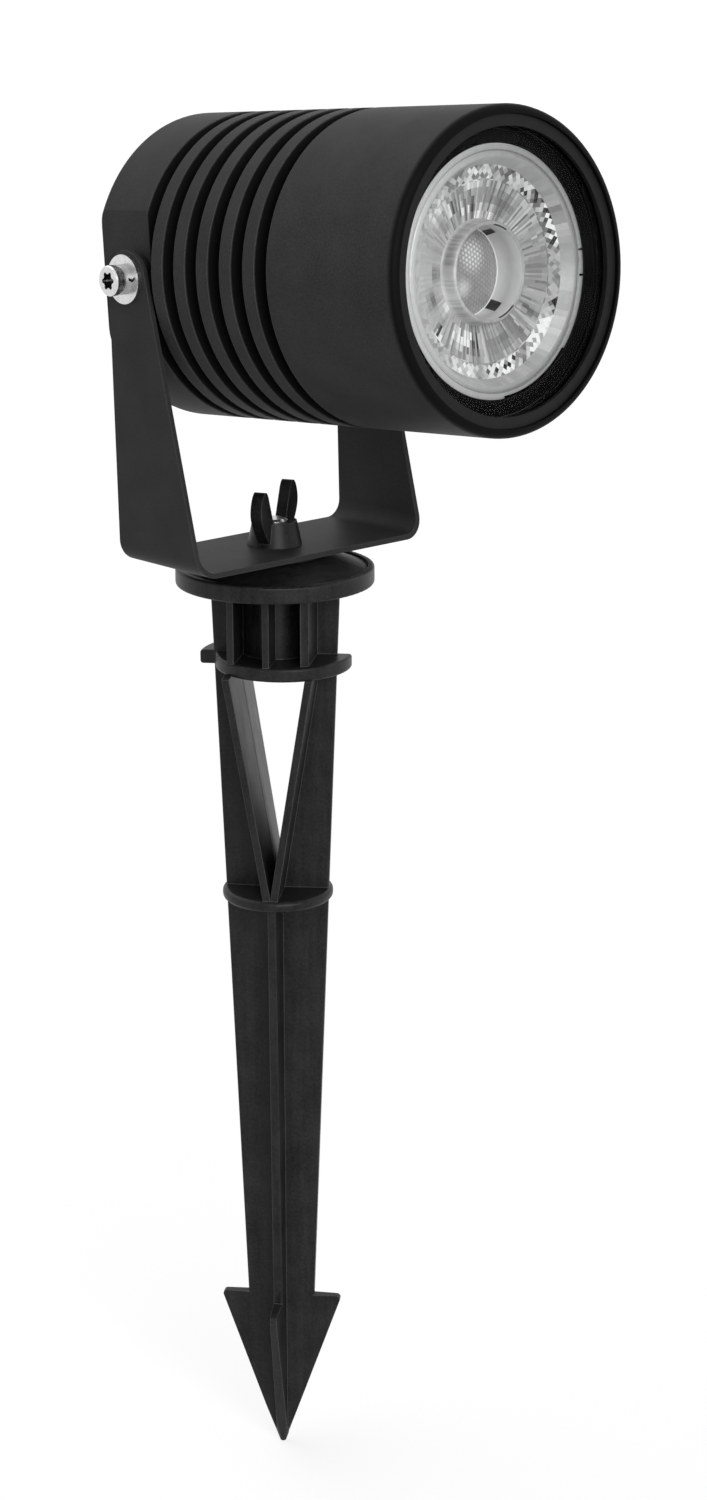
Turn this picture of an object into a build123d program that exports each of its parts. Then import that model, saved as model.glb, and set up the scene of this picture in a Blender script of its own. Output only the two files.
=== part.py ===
from build123d import *
from math import asin, atan2, cos, degrees, radians, sin, sqrt, tan
import os

# Garden spike spotlight: a finned aluminium head in a sheet U-bracket, which is
# clamped by a wing nut on top of a moulded ground spike.
# Millimetres. The origin is at ground level, where the spike's collar rests on
# the soil, on the spike's own axis. +Z is up and the lamp shines towards -Y.

# ---- driving dimensions -------------------------------------------------
FIT_GAP = 0.05            # radial gap of a turning or sliding fit
SEAT_GAP = 0.2            # gap of a loose inner part in its seat
LENS_CLEARANCE = 0.3      # lens to the glass in front and to the screws behind
FACE_GAP = 0.05           # gap between flat faces that rub on each other
OVERCUT = 1.0             # how far a cutting shape runs past what it cuts

# head
HEAD_R = 29.0             # outer radius of the barrel
HEAD_FRONT = 72.0         # pivot to the front rim, along the barrel
HEAD_BACK = 10.0          # pivot to the rear face
HEAD_TILT = 4.1           # degrees above horizontal at rest
BACK_ROUND = 1.2          # rounding of the rear edge
GROOVE_START = 4.05       # pivot to the rearmost cooling groove
GROOVE_WIDTH = 3.35
GROOVE_DEPTH = 5.2
FIN_WIDTH = 3.1
FIN_COUNT = 5
FLAT_DEPTH = 2.8          # barrel surface to the flats where the bracket sits
HOOD_WALL = 3.6
SPIGOT_LENGTH = 8.6       # threaded nose of the housing, inside the hood
NOSE_WALL = 6.9           # wall of the housing round the driver's cavity
WEB_THICKNESS = 7.0       # wall that carries the light source
LEAD_HOLE_R = 2.6
LEAD_OFFSET = 9.0         # barrel axis to the lead hole

# hood and front glass
RIM_ROUND = 1.6
RIM_LIP = 1.7             # wall of the hood round the glass
RIM_RECESS = 0.7          # rim to the retaining ring
RETAINER_THICKNESS = 0.8
RETAINER_WIDTH = 2.1
GLASS_THICKNESS = 2.5
GASKET_THICKNESS = 0.8
HOOD_RING_SECTION = 1.5   # O-ring between hood and housing

# light source and optic
CHIP_SIDE = 13.35
CHIP_THICKNESS = 1.0
GLOW_R = 4.5
GLOW_HEIGHT = 0.4
PAD_SIDE = 14.0
PAD_THICKNESS = 0.3
CHIP_SCREW_OFFSET = 8.2
LENS_RIM = 2.95           # lens edge to the outside of its holder
LENS_FLANGE = 1.5
LENS_NECK_R = 6.2
LENS_WELL_R = 8.9
LENS_WELL_DEPTH = 5.0
LENS_FLOOR_R = 8.3
LENS_DOME = 1.6           # rise of the dome on the well's floor
LENS_BULGE = (6.0, 15.2)  # a point on the cone's curved wall: (from its back, radius)
LENS_TAB_COUNT = 4
LENS_TAB_LENGTH = 1.1
LENS_TAB_WIDTH = 5.6
LENS_SLOT = 0.7
HOLDER_WALL = 1.2
HOLDER_LEDGE = 1.4
HOLDER_FLOOR = 2.0
HOLDER_HOLE_R = 11.0

# driver and rear cover
DRIVER_LENGTH = 27.0
LEAD_R = 0.7
LEAD_SPACING = 2.4
REAR_RIM = 4.5            # rim of the housing round the cover
COVER_THICKNESS = 3.0
COVER_SEAL = 0.8
COVER_SCREW_COUNT = 3

# cable gland
GLAND_R = 5.9
GLAND_BORE_R = 4.2
GLAND_HEX = 15.0
GLAND_FLANGE = 4.0
GLAND_BARREL = 7.0
GLAND_WASHER = 1.0
GLAND_NUT_LENGTH = 10.5
GLAND_NUT_FLATS = 0.55    # share of the nut's length below its cone
GLAND_NUT_TOP_R = 4.65
GLAND_MOUTH_R = 3.85
GLAND_SEAL_LENGTH = 8.0
CABLE_R = 3.25            # hole for the supply cable in the rubber seal

# small screws
SMALL_THREAD_R = 1.45
SMALL_HOLE_R = 1.6
SMALL_HEAD_R = 2.5
SMALL_HEAD_HEIGHT = 1.7
SMALL_SCREW_LENGTH = 7.0

# pivot
PIVOT_Y = 8.0             # pivot behind the spike's axis
PIVOT_HEIGHT = 54.5       # underside of the bracket to the pivot
PIVOT_HEAD_R = 2.85
PIVOT_HEAD_HEIGHT = 2.1
PIVOT_HEAD_EDGE = 0.25
PIVOT_SOCKET_R = 1.3
PIVOT_SOCKET_DEPTH = 1.2
PIVOT_DEPTH = 5.5         # thread engagement below the flat
PIVOT_WASHER_R = 4.6
PIVOT_WASHER_THICKNESS = 0.8
SPRING_R = 2.8
SPRING_THICKNESS = 0.8
SPRING_SLOT = 0.5
SPRING_CUT_LEAN = 30.0
COLLAR_WASHER_THICKNESS = 0.6
BUSH_R = 4.7
BUSH_NECK_R = 2.5

# bracket
ARM_GAP = 1.9             # flat of the barrel to the arm's inner face
SHEET = 1.0
ARM_END_R = 5.3
BRACKET_WIDTH = 23.6      # strip width at the base
BEND_R = 3.4              # inside radius of the bends

# stud and wing nut
STUD_R = 2.5
STUD_HEAD_HEX = 8.0
STUD_HEAD_HEIGHT = 3.5
STUD_PROUD = 0.5          # stud end above the wing nut
STUD_EDGE = 0.4
STUD_SINK = 2.0           # underside of the disc to the seat of the bolt's head
NUT_BASE_R = 5.4
NUT_TOP_R = 4.4
NUT_HEIGHT = 4.7
EAR_THICKNESS = 2.3
EAR_FOOT = 0.6
EAR_BELLY = (8.0, 4.2)    # points on the ears' outline: (radius, height)
EAR_SHOULDER = (9.4, 8.0)
EAR_CROWN = (7.2, 11.5)
EAR_INNER = (5.5, 9.9)
WING_YAW = 26.5           # degrees from +X
PAD_R = 9.5
PAD_HEIGHT = 1.0

# spike
SPIKE_YAW = -50.0         # degrees from +X to the spike's broad plate
DISC_R = 19.6
DISC_Z = 65.4             # underside of the disc
DISC_THICKNESS = 3.5
DISC_ROUND = 0.5
DISC_LIP = 1.2
DISC_RECESS = 0.5
BOSS_R = 10.5
BOSS_HEIGHT = 2.1         # disc's rim to the pad under the bracket
HUB_HEIGHT = 17.0         # underside of the lobes to the disc
HUB_R = 13.2              # reach of the hub's ribs
HUB_RIB_OFFSET = 7.3
HUB_CORE_R = 6.5
LOBE_THICKNESS = 2.8
LOBE_R = 13.6
LOBE_SHIFT = 1.6
LOBE_ROUND = 0.6
RIB_EDGE = 1.35           # thickness of plates and ribs at their free edges
RIB_ROOT = 2.4            # and where they cross
RIB_ROUND = 0.4           # rounding of the broad plate's edges
PLATE_AT_GROUND = 10.4    # half width of the broad plate at ground level
PLATE_SLOPE = 0.0385      # gain of half width for each millimetre of height
RIB_STEP = 1.2            # the front and back ribs stand this much lower
V_WALL = 1.4              # thickness of the leaning walls at their free edges
V_ROOT = 1.9              # and at the plate
V_FOOT = 1.1              # plate centre to the outside of the V at ground level
V_TOP = 8.9               # and at its top
COLLAR_R = 11.2
COLLAR_THICKNESS = 2.3
COLLAR_ROUND = 0.9
BARB_Z = -89.1
BARB_REACH = 12.8
BARB_ROUND = 0.8
TIP_Z = -124.4
TIP_R = 1.2
TIP_ROUND = 0.3
POINT_GAP = 0.15          # the round point stands this far outside the barbs' edges

# ---- places worked out from the dimensions ------------------------------
SPIGOT_R = HEAD_R - HOOD_WALL
CAVITY_R = SPIGOT_R - NOSE_WALL
RIM_BORE_R = HEAD_R - RIM_LIP
FLAT_OFFSET = HEAD_R - FLAT_DEPTH
COVER_R = HEAD_R - REAR_RIM
COVER_SCREW_CIRCLE = (COVER_R + CAVITY_R) / 2
FIN_PITCH = GROOVE_WIDTH + FIN_WIDTH
GROOVE_COUNT = FIN_COUNT + 1
HOOD_START = GROOVE_START + FIN_COUNT * FIN_PITCH + GROOVE_WIDTH
SPIGOT_END = HOOD_START + SPIGOT_LENGTH
RETAINER_FRONT = HEAD_FRONT - RIM_RECESS
GLASS_FRONT = RETAINER_FRONT - RETAINER_THICKNESS
GLASS_BACK = GLASS_FRONT - GLASS_THICKNESS
LEDGE_S = GLASS_BACK - GASKET_THICKNESS
LENS_FRONT = GLASS_BACK - LENS_CLEARANCE
FLANGE_BACK = LENS_FRONT - LENS_FLANGE
CHIP_BACK = SPIGOT_END + PAD_THICKNESS
CHIP_FRONT = CHIP_BACK + CHIP_THICKNESS
HOOD_BORE_R = SPIGOT_R + FIT_GAP
HOLDER_R = HOOD_BORE_R - SEAT_GAP
LENS_R = HOLDER_R - LENS_RIM
COVER_FRONT = -HEAD_BACK + COVER_THICKNESS
COVER_LEDGE = COVER_FRONT + COVER_SEAL
DRIVER_FRONT = SPIGOT_END - WEB_THICKNESS - SEAT_GAP
ARM_INNER_X = FLAT_OFFSET + ARM_GAP
ARM_OUTER_X = ARM_INNER_X + SHEET
WASHER_X = ARM_OUTER_X + FACE_GAP
SPRING_X = WASHER_X + PIVOT_WASHER_THICKNESS
COLLAR_X = SPRING_X + SPRING_THICKNESS
SCREW_X = COLLAR_X + COLLAR_WASHER_THICKNESS
DISC_TOP = DISC_Z + DISC_THICKNESS
BOSS_TOP = DISC_TOP + BOSS_HEIGHT
BASE_Z = BOSS_TOP + PAD_HEIGHT
BASE_TOP = BASE_Z + SHEET
PIVOT_Z = BASE_Z + PIVOT_HEIGHT
NUT_Z = BASE_TOP + FACE_GAP
STUD_SEAT = DISC_Z - STUD_SINK
LOBE_Z = DISC_Z - HUB_HEIGHT
LOBE_TOP = LOBE_Z + LOBE_THICKNESS

# ---- drawing helpers ----------------------------------------------------
# The head is drawn level: its axis runs along Y through the pivot, s is the
# distance forward of the pivot and each section is (s, radius).
AXIAL = Plane(origin=(0, 0, 0), x_dir=(0, -1, 0), z_dir=(-1, 0, 0))
SIDE = Plane.YZ
SIDES = (-1, 1)


def outline(*points):
    return make_face(Polyline(*points, close=True))


def turned(*section):
    """A solid turned about the barrel axis from a closed (s, radius) section."""
    return revolve(AXIAL * outline(*section), Axis.Y, 360)


def ring(s_back, s_front, r_out, r_in=0.0):
    return turned((s_back, r_in), (s_front, r_in), (s_front, r_out), (s_back, r_out))


def along_barrel(shape, s, z=0.0, x=0.0):
    """Stand a shape that is drawn along +Z on the barrel, pointing forward."""
    return Pos(x, -s, z) * Rot(90, 0, 0) * shape


def along_pivot(shape, x, side):
    """Stand a shape that is drawn along +Z on the pivot axis, pointing outward."""
    return Rot(0, 90 * side, 0) * Pos(0, 0, x) * shape


def post(radius, z_low, z_high):
    return Pos(0, 0, z_low) * extrude(Circle(radius), z_high - z_low)


def tube(r_out, r_in, z_low, z_high):
    return Pos(0, 0, z_low) * extrude(Circle(r_out) - Circle(r_in), z_high - z_low)


def hexagon(across_flats, z_low, z_high):
    shape = RegularPolygon(across_flats / 2, 6, major_radius=False)
    return Pos(0, 0, z_low) * extrude(shape, z_high - z_low)


def on_circle(count, radius):
    angles = [radians(90 + 360 * i / count) for i in range(count)]
    return [(radius * cos(angle), radius * sin(angle)) for angle in angles]


# ---- head: housing ------------------------------------------------------
def rear_housing():
    """Finned casting: flats and tapped holes at the pivot, open at the rear."""
    body = ring(-HEAD_BACK, HOOD_START, HEAD_R)
    back_edge = body.edges().filter_by(GeomType.CIRCLE).sort_by(Axis.Y)[-1]
    body = fillet(back_edge, BACK_ROUND)
    body += ring(HOOD_START, SPIGOT_END, SPIGOT_R)
    for i in range(GROOVE_COUNT):
        start = GROOVE_START + i * FIN_PITCH
        body -= ring(start, start + GROOVE_WIDTH, HEAD_R + OVERCUT, HEAD_R - GROOVE_DEPTH)
    ring_start = HOOD_START + HOOD_RING_SECTION
    ring_floor = SPIGOT_R - HOOD_RING_SECTION
    body -= ring(ring_start, ring_start + HOOD_RING_SECTION, SPIGOT_R + OVERCUT, ring_floor)
    body -= ring(COVER_FRONT, SPIGOT_END - WEB_THICKNESS, CAVITY_R)
    body -= ring(-HEAD_BACK, COVER_LEDGE, COVER_R + SEAT_GAP)
    body -= along_barrel(post(LEAD_HOLE_R, 0, HEAD_FRONT), 0, LEAD_OFFSET)
    for side in SIDES:
        slab = Box(HEAD_R, HEAD_BACK + GROOVE_START, 2 * HEAD_R)
        body -= Pos(side * (FLAT_OFFSET + HEAD_R / 2), (HEAD_BACK - GROOVE_START) / 2, 0) * slab
        floor = FLAT_OFFSET - PIVOT_DEPTH - OVERCUT
        body -= along_pivot(post(SMALL_THREAD_R + FIT_GAP, floor, HEAD_R), 0, side)
        hole = post(SMALL_THREAD_R + FIT_GAP, -SMALL_SCREW_LENGTH, OVERCUT)
        body -= along_barrel(hole, SPIGOT_END, 0, side * CHIP_SCREW_OFFSET)
    for x, z in on_circle(COVER_SCREW_COUNT, COVER_SCREW_CIRCLE):
        hole = post(SMALL_THREAD_R + FIT_GAP, 0, SMALL_SCREW_LENGTH)
        body -= along_barrel(hole, COVER_FRONT, z, x)
    return body


def rear_cover():
    cover = ring(-HEAD_BACK, COVER_FRONT, COVER_R)
    cover -= ring(-HEAD_BACK, COVER_FRONT, GLAND_R + SEAT_GAP)
    for x, z in on_circle(COVER_SCREW_COUNT, COVER_SCREW_CIRCLE):
        cover -= along_barrel(post(SMALL_HOLE_R, 0, COVER_THICKNESS), -HEAD_BACK, z, x)
    return cover


def cover_gasket():
    seal = ring(COVER_FRONT, COVER_LEDGE, COVER_R - SEAT_GAP, CAVITY_R + SEAT_GAP)
    for x, z in on_circle(COVER_SCREW_COUNT, COVER_SCREW_CIRCLE):
        seal -= along_barrel(post(SMALL_HOLE_R, 0, COVER_SEAL), COVER_FRONT, z, x)
    return seal


def small_screw(length):
    """Pan-head screw along +Z: the head's seat is at 0 and the thread goes down."""
    head = post(SMALL_HEAD_R, 0, SMALL_HEAD_HEIGHT)
    head = fillet(head.edges().filter_by(GeomType.CIRCLE).sort_by(Axis.Z)[-1], SMALL_HEAD_HEIGHT / 3)
    socket = extrude(RegularPolygon(SMALL_HEAD_R / 2, 6), SMALL_HEAD_HEIGHT)
    head -= Pos(0, 0, SMALL_HEAD_HEIGHT / 2) * socket
    return head + post(SMALL_THREAD_R, -length, 0)


def cover_screws():
    turned_back = Rot(180, 0, 0) * small_screw(SMALL_SCREW_LENGTH)
    places = on_circle(COVER_SCREW_COUNT, COVER_SCREW_CIRCLE)
    return [along_barrel(turned_back, -HEAD_BACK, z, x) for x, z in places]


# ---- head: driver, light source and optic -------------------------------
def driver_module():
    """Potted driver can, pushed up to the web; its two leads come out of the front."""
    can = ring(DRIVER_FRONT - DRIVER_LENGTH, DRIVER_FRONT, CAVITY_R - SEAT_GAP)
    return can - Pos(0, -DRIVER_FRONT + DRIVER_LENGTH, 0) * Box(CAVITY_R, DRIVER_LENGTH / 2, CAVITY_R / 2)


def chip_leads():
    """Two stiff leads from the driver through the web to the chip's solder pads."""
    leads = []
    bend_s = CHIP_FRONT + LEAD_R
    pad_z = CHIP_SIDE / 2 - 2 * LEAD_R
    for side in SIDES:
        x = side * LEAD_SPACING / 2
        path = Polyline((x, -DRIVER_FRONT, LEAD_OFFSET), (x, -bend_s, LEAD_OFFSET), (x, -bend_s, pad_z))
        start = Plane(origin=(x, -DRIVER_FRONT, LEAD_OFFSET), z_dir=(0, -1, 0))
        leads.append(sweep(start * Circle(LEAD_R), path, transition=Transition.RIGHT))
    return leads


def thermal_pad():
    pad = Box(PAD_SIDE, PAD_THICKNESS, PAD_SIDE)
    pad = Pos(0, -SPIGOT_END - PAD_THICKNESS / 2, 0) * pad
    for side in SIDES:
        pad -= along_barrel(post(SMALL_HOLE_R, 0, PAD_THICKNESS), SPIGOT_END, 0, side * CHIP_SCREW_OFFSET)
    return pad


def led_chip():
    """Chip-on-board light source: ceramic plate with a round glowing field."""
    plate = Pos(0, -CHIP_BACK - CHIP_THICKNESS / 2, 0) * Box(CHIP_SIDE, CHIP_THICKNESS, CHIP_SIDE)
    for side in SIDES:
        hole = post(SMALL_HOLE_R, 0, CHIP_THICKNESS)
        plate -= along_barrel(hole, CHIP_BACK, 0, side * CHIP_SCREW_OFFSET)
    return plate + ring(CHIP_FRONT, CHIP_FRONT + GLOW_HEIGHT, GLOW_R)


def chip_screws():
    screw = small_screw(SMALL_SCREW_LENGTH - OVERCUT)
    return [along_barrel(screw, CHIP_FRONT, 0, side * CHIP_SCREW_OFFSET) for side in SIDES]


def optic_lens():
    """Collimator: cone with a tabbed front flange and a domed well over the chip."""
    back = CHIP_FRONT + SMALL_HEAD_HEIGHT + LENS_CLEARANCE
    seat_r = LENS_R - HOLDER_LEDGE
    edge = Polyline((FLANGE_BACK, seat_r), (FLANGE_BACK, LENS_R), (LENS_FRONT, LENS_R),
                    (LENS_FRONT, 0), (back, 0), (back, LENS_NECK_R))
    bulge_s, bulge_r = LENS_BULGE
    wall = ThreePointArc((back, LENS_NECK_R), (back + bulge_s, bulge_r), (FLANGE_BACK, seat_r))
    lens = revolve(AXIAL * make_face([edge, wall]), Axis.Y, 360)
    floor_s = LENS_FRONT - LENS_WELL_DEPTH
    well = turned((floor_s, 0), (floor_s, LENS_FLOOR_R),
                  (LENS_FRONT, LENS_WELL_R), (LENS_FRONT, 0))
    dome_r = (LENS_FLOOR_R ** 2 + LENS_DOME ** 2) / (2 * LENS_DOME)
    lens -= well - Pos(0, dome_r - LENS_DOME - floor_s, 0) * Sphere(dome_r)
    for i in range(LENS_TAB_COUNT):
        for side in SIDES:
            turn = 360 * i / LENS_TAB_COUNT + side * degrees(LENS_TAB_WIDTH / 2 / LENS_R)
            slot = Box(2 * LENS_TAB_LENGTH, 3 * LENS_FLANGE, LENS_SLOT)
            lens -= Rot(0, turn, 0) * Pos(LENS_R, -LENS_FRONT, 0) * slot
    return lens


def lens_holder():
    """Black cup that stands on the web and carries the lens by its flange."""
    inner = HOLDER_R - HOLDER_WALL
    ledge = FLANGE_BACK - HOLDER_WALL
    floor = SPIGOT_END + HOLDER_FLOOR
    seat_r = LENS_R + SEAT_GAP / 2
    ledge_r = LENS_R - HOLDER_LEDGE
    return turned((SPIGOT_END, HOLDER_HOLE_R), (SPIGOT_END, HOLDER_R), (LENS_FRONT, HOLDER_R),
                  (LENS_FRONT, seat_r), (FLANGE_BACK, seat_r), (FLANGE_BACK, ledge_r),
                  (ledge, ledge_r), (ledge, inner), (floor, inner), (floor, HOLDER_HOLE_R))


# ---- head: hood and glass ----------------------------------------------
def front_hood():
    """Smooth sleeve, screwed over the housing's nose, with a ledge for the glass."""
    hood = ring(HOOD_START, HEAD_FRONT, HEAD_R, HOOD_BORE_R)
    hood -= ring(LEDGE_S, HEAD_FRONT, RIM_BORE_R)
    rim = hood.edges().filter_by(GeomType.CIRCLE).group_by(Axis.Y)[0]
    return fillet(rim.sort_by(SortBy.RADIUS)[-1], RIM_ROUND)


def hood_o_ring():
    start = HOOD_START + HOOD_RING_SECTION + FIT_GAP
    end = HOOD_START + 2 * HOOD_RING_SECTION - FIT_GAP
    return ring(start, end, SPIGOT_R, SPIGOT_R - HOOD_RING_SECTION + FIT_GAP)


def glass_gasket():
    return ring(LEDGE_S, GLASS_BACK, RIM_BORE_R - SEAT_GAP, HOOD_BORE_R + SEAT_GAP)


def cover_glass():
    return ring(GLASS_BACK, GLASS_FRONT, RIM_BORE_R - SEAT_GAP)


def retaining_ring():
    return ring(GLASS_FRONT, RETAINER_FRONT, RIM_BORE_R - FIT_GAP, RIM_BORE_R - RETAINER_WIDTH)


# ---- head: cable gland --------------------------------------------------
def gland_body():
    barrel = post(GLAND_R, -COVER_THICKNESS - GLAND_WASHER, GLAND_FLANGE + GLAND_BARREL)
    body = barrel + hexagon(GLAND_HEX, 0, GLAND_FLANGE)
    return along_rear(body - post(GLAND_BORE_R, -HEAD_BACK, GLAND_FLANGE + GLAND_BARREL))


def along_rear(shape):
    """Stand a shape that is drawn along +Z on the gland washer, pointing rearward."""
    return Pos(0, HEAD_BACK + GLAND_WASHER, 0) * Rot(-90, 0, 0) * shape


def gland_washer():
    return along_rear(tube(GLAND_HEX / 2, GLAND_R + SEAT_GAP, -GLAND_WASHER, 0))


def gland_nut():
    """Domed cap that squeezes the seal onto the cable."""
    low = GLAND_FLANGE + SEAT_GAP
    top = low + GLAND_NUT_LENGTH
    section = outline((0, low), (GLAND_HEX, low), (GLAND_HEX, low + GLAND_NUT_LENGTH * GLAND_NUT_FLATS),
                      (GLAND_NUT_TOP_R, top), (0, top))
    nut = hexagon(GLAND_HEX, low, top) & revolve(Plane.XZ * section, Axis.Z, 360)
    nut -= post(GLAND_R + FIT_GAP, low, GLAND_FLANGE + GLAND_BARREL + SEAT_GAP)
    return along_rear(nut - post(GLAND_MOUTH_R, low, top))


def gland_seal():
    top = GLAND_FLANGE + GLAND_BARREL
    return along_rear(tube(GLAND_BORE_R - FIT_GAP, CABLE_R, top - GLAND_SEAL_LENGTH, top))


# ---- head: pivot hardware ----------------------------------------------
def both_sides(shape, x):
    return [along_pivot(shape, x, side) for side in SIDES]


def pivot_bushes():
    """Shouldered bushes between the flats and the arms; the necks turn in the arms."""
    shoulder = tube(BUSH_R, SMALL_HOLE_R, FLAT_OFFSET, ARM_INNER_X - FACE_GAP)
    neck = tube(BUSH_NECK_R, SMALL_HOLE_R, ARM_INNER_X - FACE_GAP, ARM_OUTER_X + FACE_GAP)
    return both_sides(shoulder + neck, 0)


def pivot_washers():
    return both_sides(tube(PIVOT_WASHER_R, SMALL_HOLE_R, 0, PIVOT_WASHER_THICKNESS), WASHER_X)


def spring_washers():
    coil = tube(SPRING_R, SMALL_HOLE_R, 0, SPRING_THICKNESS)
    cut = Rot(0, SPRING_CUT_LEAN, 0) * Box(SPRING_SLOT, SPRING_R, 2 * SPRING_THICKNESS)
    coil -= Pos(0, -SPRING_R / 2, SPRING_THICKNESS / 2) * cut
    return both_sides(coil, SPRING_X)


def collar_washers():
    return both_sides(tube(SPRING_R, SMALL_HOLE_R, 0, COLLAR_WASHER_THICKNESS), COLLAR_X)


def pivot_screws():
    """Cap screws with a six-lobed socket."""
    head = post(PIVOT_HEAD_R, 0, PIVOT_HEAD_HEIGHT)
    head = chamfer(head.edges().filter_by(GeomType.CIRCLE).sort_by(Axis.Z)[-1], PIVOT_HEAD_EDGE)
    socket = Circle(PIVOT_SOCKET_R)
    for x, y in on_circle(6, PIVOT_SOCKET_R):
        socket += Pos(x, y) * Circle(PIVOT_SOCKET_R / 3)
    head -= Pos(0, 0, PIVOT_HEAD_HEIGHT - PIVOT_SOCKET_DEPTH) * extrude(socket, PIVOT_SOCKET_DEPTH)
    shank = post(SMALL_THREAD_R, FLAT_OFFSET - PIVOT_DEPTH - SCREW_X, 0)
    return both_sides(head + shank, SCREW_X)


# ---- bracket ------------------------------------------------------------
def arm_side():
    """Side outline of the bracket: straight edges tangent to the arm's round end."""
    half = BRACKET_WIDTH / 2
    points = []
    for side in SIDES:
        foot = Vector(side * half, BASE_Z)
        away = Vector(PIVOT_Y, PIVOT_Z) - foot
        reach = away.length
        swing = asin(ARM_END_R / reach)
        touch = sqrt(reach ** 2 - ARM_END_R ** 2)
        direction = away.normalized().rotate(Axis.Z, -side * degrees(swing))
        points.append((foot, foot + direction * touch))
    (front_foot, front_touch), (back_foot, back_touch) = points
    top = (PIVOT_Y, PIVOT_Z + ARM_END_R)
    edges = [Line(front_foot, front_touch), ThreePointArc(front_touch, top, back_touch),
             Line(back_touch, back_foot), Line(back_foot, front_foot)]
    return make_face(edges)


def u_bracket():
    """Sheet strip bent into a U; its arms narrow to round ends at the pivot."""
    outer = 2 * ARM_OUTER_X
    height = PIVOT_Z + 2 * ARM_END_R - BASE_Z
    strip = Pos(0, 0, BASE_Z + height / 2) * Box(outer, 2 * BRACKET_WIDTH, height)
    low = strip.edges().filter_by(Axis.Y).group_by(Axis.Z)[0]
    strip = fillet(low, BEND_R + SHEET)
    hollow = Pos(0, 0, BASE_TOP + height / 2) * Box(2 * ARM_INNER_X, 2 * BRACKET_WIDTH, height)
    low = hollow.edges().filter_by(Axis.Y).group_by(Axis.Z)[0]
    strip -= fillet(low, BEND_R)
    strip &= extrude(SIDE * arm_side(), 2 * ARM_OUTER_X, both=True)
    strip -= post(STUD_R + FIT_GAP, BASE_Z, BASE_TOP)
    for side in SIDES:
        hole = post(BUSH_NECK_R + FIT_GAP, ARM_INNER_X - OVERCUT, ARM_OUTER_X + OVERCUT)
        strip -= Pos(0, PIVOT_Y, PIVOT_Z) * along_pivot(hole, 0, side)
    return strip


# ---- stud and wing nut --------------------------------------------------
def swivel_pad():
    """Rubber washer that grips the bracket's base."""
    return tube(PAD_R, STUD_R + FIT_GAP, BOSS_TOP, BASE_Z)


def stud_bolt():
    """Hex bolt held in the spike's core; its end stands through the bracket."""
    head = hexagon(STUD_HEAD_HEX, STUD_SEAT - STUD_HEAD_HEIGHT, STUD_SEAT)
    shank = post(STUD_R, STUD_SEAT, NUT_Z + NUT_HEIGHT + STUD_PROUD)
    shank = chamfer(shank.edges().filter_by(GeomType.CIRCLE).sort_by(Axis.Z)[-1], STUD_EDGE)
    return Rot(0, 0, SPIKE_YAW) * (head + shank)


def wing_nut():
    """Conical boss with two upright ears."""
    boss = outline((0, 0), (NUT_BASE_R, 0), (NUT_TOP_R, NUT_HEIGHT), (0, NUT_HEIGHT))
    nut = revolve(Plane.XZ * boss, Axis.Z, 360)
    root = (STUD_R, EAR_FOOT)
    toe = (NUT_BASE_R - EAR_FOOT, EAR_FOOT)
    heel = (NUT_TOP_R - EAR_THICKNESS / 2, NUT_HEIGHT)
    ear = [Line(root, toe), Spline(toe, EAR_BELLY, EAR_SHOULDER, EAR_CROWN, EAR_INNER),
           Line(EAR_INNER, heel), Line(heel, root)]
    wing = extrude(Plane.XZ * make_face(ear), EAR_THICKNESS / 2, both=True)
    nut += wing + Rot(0, 0, 180) * wing
    nut -= post(STUD_R + FIT_GAP, 0, EAR_CROWN[1])
    return Pos(0, 0, NUT_Z) * Rot(0, 0, WING_YAW) * nut


# ---- spike --------------------------------------------------------------
# The spike is drawn with its broad plate in the XZ plane.
def plate_half(z):
    return PLATE_AT_GROUND + PLATE_SLOPE * z


def drafted(shape, across=0):
    """Thin a plate from RIB_ROOT at the middle to RIB_EDGE at its free edges."""
    reach = DISC_R
    root = RIB_ROOT / 2
    edge = root - (RIB_ROOT - RIB_EDGE) / 2 * reach / BARB_REACH
    plan = outline((-reach, -edge), (0, -root), (reach, -edge),
                   (reach, edge), (0, root), (-reach, edge))
    return shape & Rot(0, 0, across) * Pos(0, 0, TIP_Z) * extrude(plan, DISC_Z - TIP_Z)


def tapered_plate(z_low, z_high, step=0.0):
    """Upright plate in the XZ plane whose edges follow the spike's taper."""
    low, high = plate_half(z_low) - step, plate_half(z_high) - step
    face = outline((-low, z_low), (low, z_low), (high, z_high), (-high, z_high))
    plate = drafted(extrude(Plane.XZ * face, RIB_ROOT, both=True))
    long_edges = plate.edges().filter_by(lambda edge: edge.length > RIB_ROOT)
    sides = long_edges.filter_by(lambda edge: abs(edge.center().X) > low / 2)
    return fillet(sides, RIB_ROUND)


def spike_disc():
    """Round plate with a lip, whose top rises inside it to the pad's seat."""
    disc = post(DISC_R, DISC_Z, DISC_TOP)
    disc = fillet(disc.edges().filter_by(GeomType.CIRCLE), DISC_ROUND)
    lip = DISC_R - DISC_LIP
    disc -= post(lip, DISC_TOP - DISC_RECESS, DISC_TOP)
    seat = outline((0, DISC_Z), (lip, DISC_Z), (lip, DISC_TOP - DISC_RECESS),
                   (BOSS_R, BOSS_TOP), (0, BOSS_TOP))
    return disc + revolve(Plane.XZ * seat, Axis.Z, 360)


def hub_rib(x):
    """Front-to-back rib of the hub, drafted as the plates are."""
    rib = Box(4 * HUB_R, RIB_ROOT, HUB_HEIGHT - LOBE_THICKNESS)
    rib = Rot(0, 0, 90) * drafted(Pos(0, 0, (DISC_Z + LOBE_TOP) / 2) * rib)
    return Pos(x, 0) * rib & post(HUB_R, LOBE_TOP, DISC_Z)


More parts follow.
